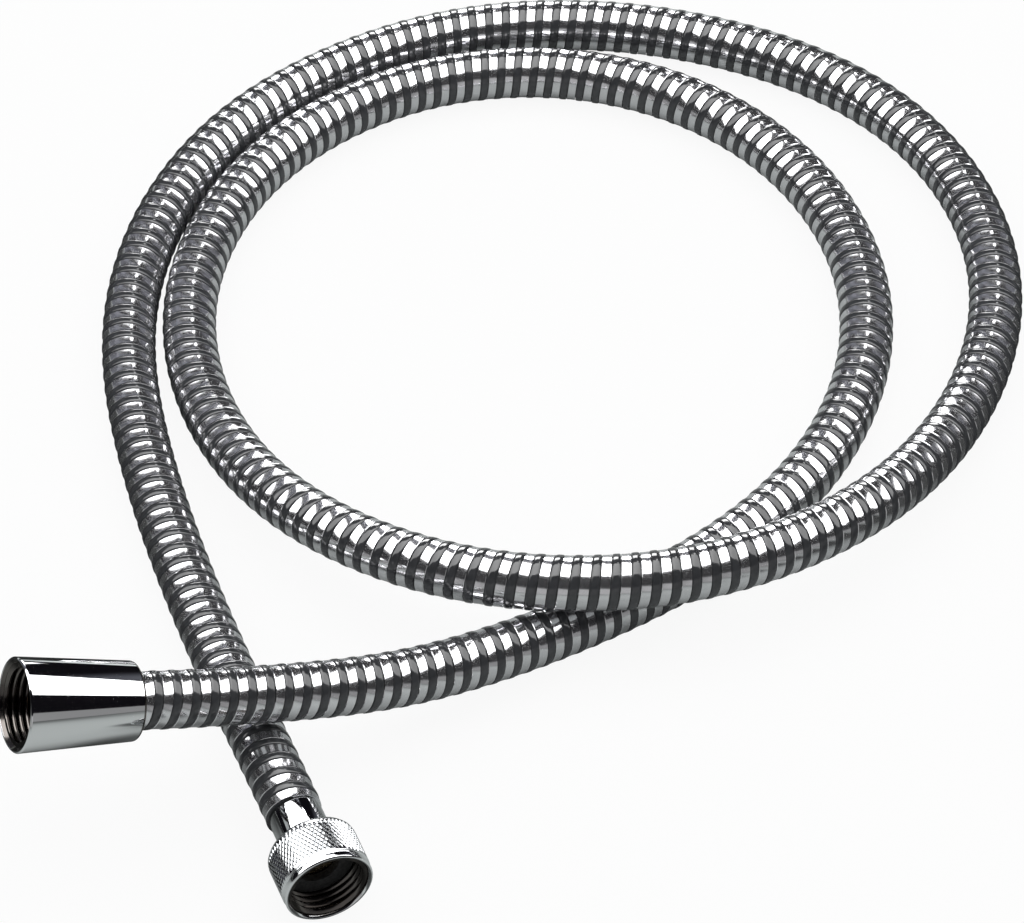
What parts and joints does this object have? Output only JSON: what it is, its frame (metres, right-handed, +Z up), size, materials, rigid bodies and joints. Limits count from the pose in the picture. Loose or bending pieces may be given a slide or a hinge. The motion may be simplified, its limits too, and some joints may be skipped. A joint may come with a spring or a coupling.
{
  "type": "shower hose",
  "caption": "Flexible spiral shower hose lying in two loose loops, with a conical swivel nut on one end and a short knurled swivel nut behind a crimp sleeve on the other.",
  "frame": {"origin": "on the floor that the hose lies on, under the middle of the two end fittings' bounding box", "axes": "+Z up; +X along the fittings' longest extent, from the conical nut's side to the knurled nut's side; +Y from the fittings towards the loops, the fittings' shortest extent"},
  "size_m": [0.2713, 0.3399, 0.0587],
  "materials": {
    "chrome_strip": "mirror chrome look on a wound plastic strip",
    "smoked_bead": "glossy smoked grey plastic, the wound bead between the turns of the strip",
    "chrome_metal": "polished chrome plate on brass",
    "tail_brass": "turned brass",
    "washer_rubber": "black rubber",
    "water_hose": "plain soft plastic"
  },
  "bodies": {
    "hose": {"spiral_sheath": "chrome_strip", "inner_hose": "water_hose", "conical_end_tail": "tail_brass", "conical_end_ferrule": "chrome_metal", "knurled_end_tail": "tail_brass", "knurled_end_ferrule": "chrome_metal"},
    "conical_swivel": {"conical_nut": "chrome_metal", "conical_end_washer": "washer_rubber"},
    "knurled_swivel": {"knurled_nut": "chrome_metal", "knurled_end_washer": "washer_rubber"}
  },
  "joints": [
    {"name": "conical_nut_swivel", "type": "hinge", "parent": "hose", "child": "conical_swivel", "pos_m": [-0.01939, 0.01495, 0.03961], "axis": [-0.8982, -0.3109, 0.3109], "continuous": true},
    {"name": "knurled_nut_swivel", "type": "hinge", "parent": "hose", "child": "knurled_swivel", "pos_m": [0.02669, 0.00152, 0.0118], "axis": [0.3702, -0.929, 0], "continuous": true}
  ]
}
